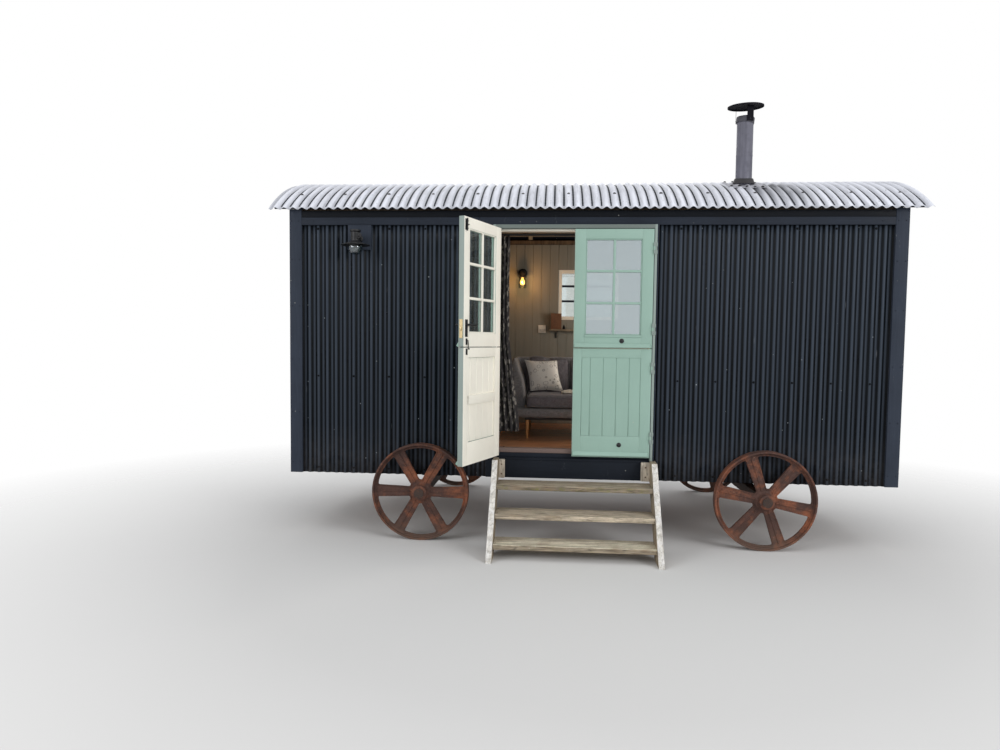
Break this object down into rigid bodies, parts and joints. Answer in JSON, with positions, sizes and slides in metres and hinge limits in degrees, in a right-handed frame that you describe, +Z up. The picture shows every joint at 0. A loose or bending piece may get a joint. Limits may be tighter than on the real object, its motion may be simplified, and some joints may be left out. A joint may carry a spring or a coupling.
{
  "type": "shepherd's hut",
  "caption": "Small living hut on spoked iron wheels, corrugated walls, curved corrugated roof, flue and wooden steps; outward opening stable doors swing and the wheels turn.",
  "frame": {"origin": "on the ground, at the middle of the overall footprint", "axes": "+X along the hut to the right as seen from the doors, +Y from the doors to the back, +Z up"},
  "size_m": [5.334, 2.985, 3.738],
  "materials": {
    "chassis_steel": "weathered black paint",
    "wheel_iron": "rust over worn red-brown paint",
    "frame_timber": "sawn softwood",
    "floor_boards": "oiled pine boards",
    "wall_lining": "cream painted boards inside",
    "cladding": "satin charcoal paint on corrugated sheet",
    "trim_paint": "charcoal painted timber",
    "roof_timber": "cream painted boards inside",
    "roof_metal": "dull galvanised corrugated sheet",
    "door_paint": "satin sage paint outside, cream inside",
    "window_glass": "clear",
    "black_iron": "black paint",
    "step_timber": "weathered grey-brown softwood",
    "flue_metal": "dark grey heat-proof paint",
    "sofa_fabric": "charcoal woven wool",
    "leg_timber": "pale oak",
    "cushion_fabric": "off-white linen with small dark marks",
    "curtain_fabric": "dark patterned cotton",
    "shelf_timber": "oiled pine"
  },
  "bodies": {
    "hut": {"chassis_frame": "chassis_steel", "corner_board_front_left": "trim_paint", "corner_board_front_right": "trim_paint", "corner_board_rear_left": "trim_paint", "corner_board_rear_right": "trim_paint", "curtain": "curtain_fabric", "curtain_pole": "black_iron", "door_frame": "door_paint", "door_sill": "trim_paint", "end_cladding_left": "cladding", "end_cladding_right": "cladding", "end_wall_left": "wall_lining", "end_wall_right": "wall_lining", "floor_boards": "floor_boards", "floor_frame": "frame_timber", "flue_cap": "flue_metal", "flue_pipe": "flue_metal", "front_cladding_left": "cladding", "front_cladding_right": "cladding", "front_fascia": "trim_paint", "front_wall_head": "wall_lining", "front_wall_left": "wall_lining", "front_wall_right": "wall_lining", "lantern_board": "trim_paint", "left_axle": "chassis_steel", "left_stringer": "step_timber", "rear_cladding": "cladding", "rear_fascia": "trim_paint", "rear_shelf": "shelf_timber", "rear_wall": "wall_lining", "rear_window_frame": "door_paint", "rear_window_glass": "window_glass", "right_axle": "chassis_steel", "right_stringer": "step_timber", "roof_boards": "roof_timber", "roof_sheet": "roof_metal", "scatter_cushion": "cushion_fabric", "sill_panel": "trim_paint", "sofa_back": "sofa_fabric", "sofa_frame": "sofa_fabric", "sofa_legs": "leg_timber", "sofa_seat": "sofa_fabric", "tread_bottom": "step_timber", "tread_middle": "step_timber", "tread_top": "step_timber", "wall_lamp": "black_iron", "wall_lantern": "black_iron"},
    "left_door": {"left_lower_door": "door_paint", "left_upper_door": "door_paint", "left_door_glass": "window_glass", "door_handle": "black_iron"},
    "right_door": {"right_lower_door": "door_paint", "right_upper_door": "door_paint", "right_door_glass": "window_glass"},
    "wheel_front_left": {"wheel_front_left": "wheel_iron"},
    "wheel_front_right": {"wheel_front_right": "wheel_iron"},
    "wheel_rear_left": {"wheel_rear_left": "wheel_iron"},
    "wheel_rear_right": {"wheel_rear_right": "wheel_iron"}
  },
  "joints": [
    {"name": "left_door_hinge", "type": "hinge", "parent": "hut", "child": "left_door", "pos_m": [-0.7625, -0.8565, 1.66], "axis": [0, 0, -1], "range_deg": [-111, 39]},
    {"name": "right_door_hinge", "type": "hinge", "parent": "hut", "child": "right_door", "pos_m": [0.5245, -0.8565, 1.66], "axis": [0, 0, 1], "range_deg": [0, 165]},
    {"name": "wheel_front_left_axle", "type": "hinge", "parent": "hut", "child": "wheel_front_left", "pos_m": [-1.37, -0.88, 0.405], "axis": [0, 1, 0], "continuous": true},
    {"name": "wheel_front_right_axle", "type": "hinge", "parent": "hut", "child": "wheel_front_right", "pos_m": [1.45, -0.88, 0.405], "axis": [0, 1, 0], "continuous": true},
    {"name": "wheel_rear_left_axle", "type": "hinge", "parent": "hut", "child": "wheel_rear_left", "pos_m": [-1.37, 1.405, 0.405], "axis": [0, 1, 0], "continuous": true},
    {"name": "wheel_rear_right_axle", "type": "hinge", "parent": "hut", "child": "wheel_rear_right", "pos_m": [1.45, 1.405, 0.405], "axis": [0, 1, 0], "continuous": true}
  ]
}
